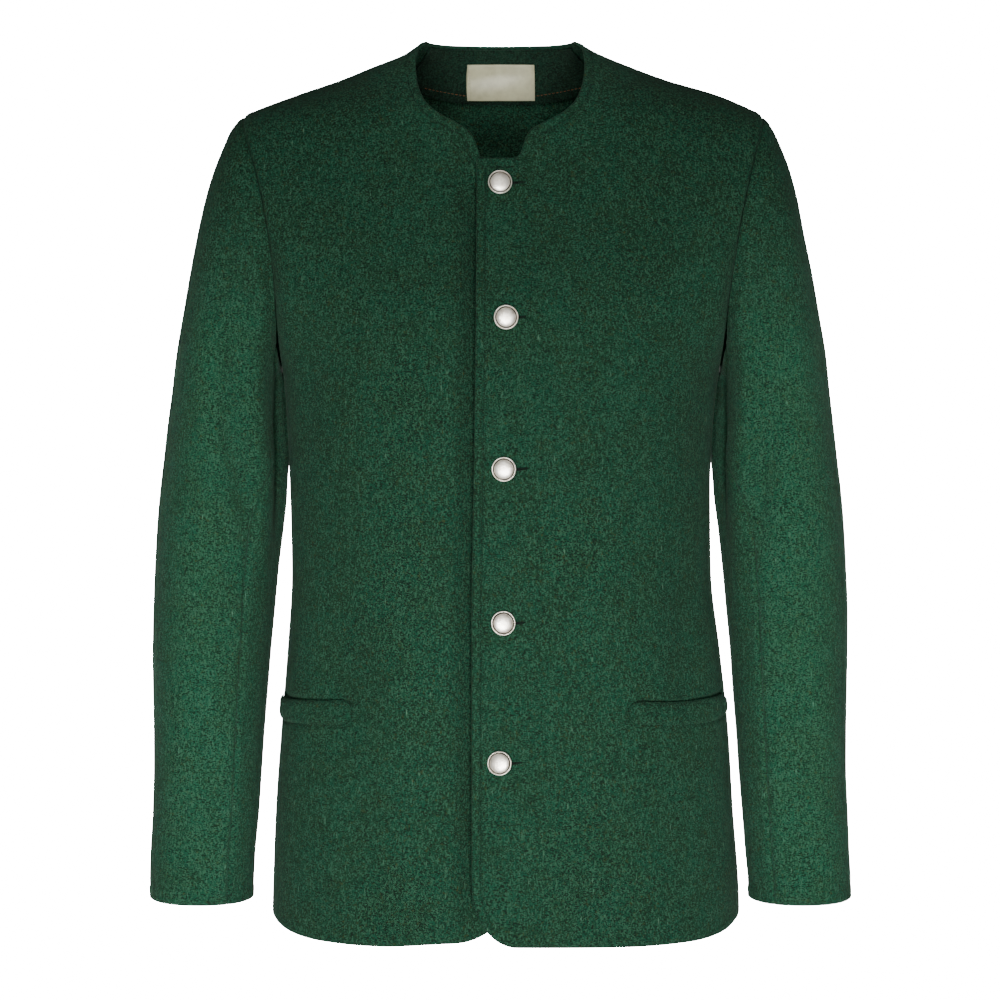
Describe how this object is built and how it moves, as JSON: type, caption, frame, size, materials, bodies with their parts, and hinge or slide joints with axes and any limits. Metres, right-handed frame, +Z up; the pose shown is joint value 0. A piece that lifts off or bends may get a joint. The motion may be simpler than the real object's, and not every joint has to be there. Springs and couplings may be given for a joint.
{
  "type": "boiled wool cardigan jacket",
  "caption": "Collarless boiled wool cardigan jacket with a button front, set-in two-part sleeves and welt pockets, hollow and in worn shape.",
  "frame": {"origin": "midway between the two neck points of the shoulder seams, where the wearer's shoulders carry the garment", "axes": "+Z up, -Y the front of the garment, +X the wearer's left"},
  "size_m": [0.5915, 0.241, 0.76],
  "materials": {
    "wool": "matt boiled wool, heathered dark green",
    "facing": "matt wool facing, seen inside the neck",
    "label": "woven satin, bare",
    "buttons": "antique silver, domed"
  },
  "bodies": {
    "root": {"back": "wool", "front_left": "wool", "front_right": "wool", "sleeve_left_top": "wool", "sleeve_left_under": "wool", "sleeve_right_top": "wool", "sleeve_right_under": "wool", "pocket_welt_left": "wool", "pocket_welt_right": "wool", "back_neck_facing": "facing", "label": "label", "button_1": "buttons", "button_2": "buttons", "button_3": "buttons", "button_4": "buttons", "button_5": "buttons"}
  },
  "joints": []
}
